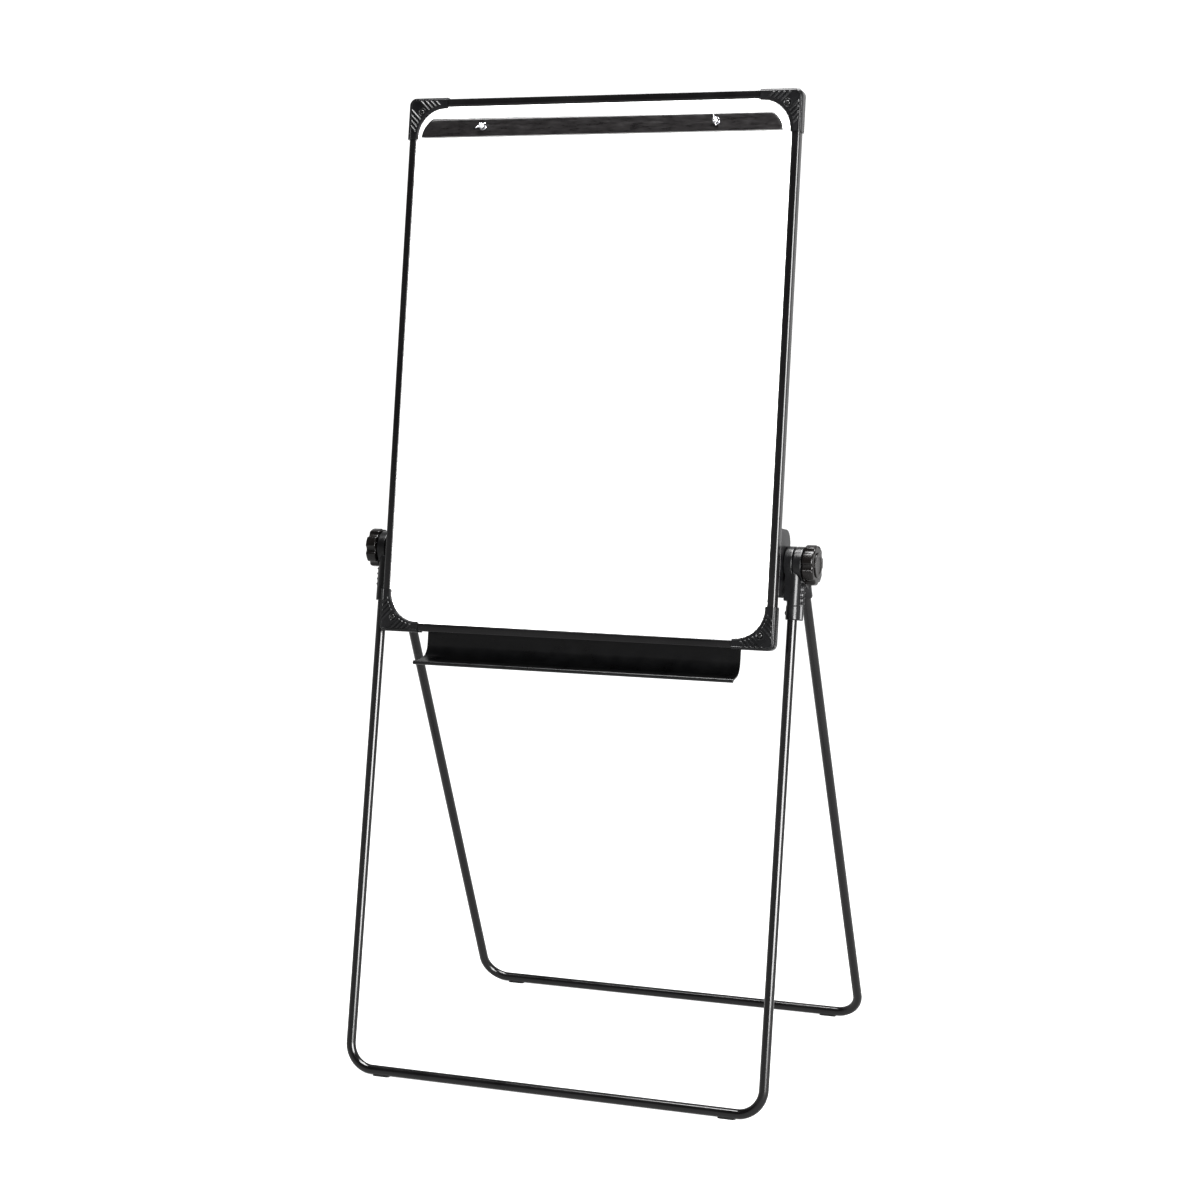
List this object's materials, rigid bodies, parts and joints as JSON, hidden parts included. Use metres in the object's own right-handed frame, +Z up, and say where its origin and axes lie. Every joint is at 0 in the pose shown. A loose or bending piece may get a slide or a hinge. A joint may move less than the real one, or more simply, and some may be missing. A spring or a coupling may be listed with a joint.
{
  "type": "flipchart easel",
  "caption": "Free-standing presentation easel: framed dry-erase board with pad clamp and marker tray, hung by clamp knobs between two folding U-shaped tube legs.",
  "frame": {"origin": "on the floor, under the middle of the easel's bounding box", "axes": "+Z up, +X to the viewer's right when facing the writing side, -Y towards the viewer"},
  "size_m": [0.7902, 0.592, 1.6179],
  "materials": {
    "tube_black": "black powder coat, semi-gloss",
    "frame_black": "black enamel, semi-gloss",
    "moulded_black": "moulded, fine texture",
    "knob_black": "moulded, satin",
    "brass_insert": "turned",
    "bolt_steel": "zinc plated",
    "fibre_washer": "hard fibre",
    "black_screw": "black zinc",
    "glide_black": "soft matte",
    "white_melamine": "dry-erase gloss",
    "core_board": "pressed board",
    "backer_sheet": "moisture barrier sheet",
    "clamp_black": "grained black coating",
    "grip_rubber": "ribbed",
    "stud_chrome": "plated",
    "tray_black": "extruded, satin"
  },
  "bodies": {
    "front_leg": {"front_leg_tube": "tube_black", "front_leg_hub_left": "moulded_black", "front_leg_hub_right": "moulded_black", "pivot_bolt_left": "bolt_steel", "pivot_bolt_right": "bolt_steel", "friction_washers": "fibre_washer", "knob_washers": "bolt_steel", "leg_stop_pins": "bolt_steel", "front_socket_screws": "black_screw", "front_glide_left": "glide_black", "front_glide_right": "glide_black"},
    "rear_leg": {"rear_leg_tube": "tube_black", "rear_leg_hub_left": "moulded_black", "rear_leg_hub_right": "moulded_black", "rear_socket_screws": "black_screw", "rear_glide_left": "glide_black", "rear_glide_right": "glide_black"},
    "board": {"frame_stile_left": "frame_black", "frame_stile_right": "frame_black", "frame_rail_top": "frame_black", "frame_rail_bottom": "frame_black", "writing_surface": "white_melamine", "board_core": "core_board", "board_backer": "backer_sheet", "corner_bracket_top_left": "moulded_black", "corner_bracket_top_right": "moulded_black", "corner_bracket_bottom_left": "moulded_black", "corner_bracket_bottom_right": "moulded_black", "corner_screws": "black_screw", "pivot_bracket_left": "moulded_black", "pivot_bracket_right": "moulded_black", "pivot_bracket_screws": "black_screw", "clamp_studs": "stud_chrome", "marker_tray": "tray_black", "tray_screws": "black_screw"},
    "pad_clamp": {"pad_clamp_bar": "clamp_black", "pad_clamp_grip": "grip_rubber", "clamp_washers": "stud_chrome"},
    "wing_nut_left": {"wing_nut_left": "stud_chrome"},
    "wing_nut_right": {"wing_nut_right": "stud_chrome"},
    "knob_left": {"knob_body_left": "knob_black", "knob_insert_left": "brass_insert", "knob_cap_left": "knob_black"},
    "knob_right": {"knob_body_right": "knob_black", "knob_insert_right": "brass_insert", "knob_cap_right": "knob_black"}
  },
  "joints": [
    {"name": "rear_leg_fold", "type": "hinge", "parent": "front_leg", "child": "rear_leg", "pos_m": [0, -0.1, 0.861], "axis": [1, 0, 0], "range_deg": [-34, 0]},
    {"name": "board_tilt", "type": "hinge", "parent": "front_leg", "child": "board", "pos_m": [0, -0.1, 0.861], "axis": [1, 0, 0], "range_deg": [-80, 9.8]},
    {"name": "knob_left_turn", "type": "hinge", "parent": "front_leg", "child": "knob_left", "pos_m": [-0.384, -0.1, 0.861], "axis": [1, 0, 0], "continuous": true},
    {"name": "knob_right_turn", "type": "hinge", "parent": "front_leg", "child": "knob_right", "pos_m": [0.384, -0.1, 0.861], "axis": [1, 0, 0], "continuous": true},
    {"name": "pad_clamp_slide", "type": "slide", "parent": "board", "child": "pad_clamp", "axis": [0, -0.9854, 0.1702], "range_m": [0, 0.006]},
    {"name": "wing_nut_left_turn", "type": "hinge", "parent": "pad_clamp", "child": "wing_nut_left", "pos_m": [-0.205, -0.05078, 1.56895], "axis": [0, -0.9854, 0.1702], "continuous": true},
    {"name": "wing_nut_right_turn", "type": "hinge", "parent": "pad_clamp", "child": "wing_nut_right", "pos_m": [0.205, -0.05078, 1.56895], "axis": [0, -0.9854, 0.1702], "continuous": true}
  ]
}
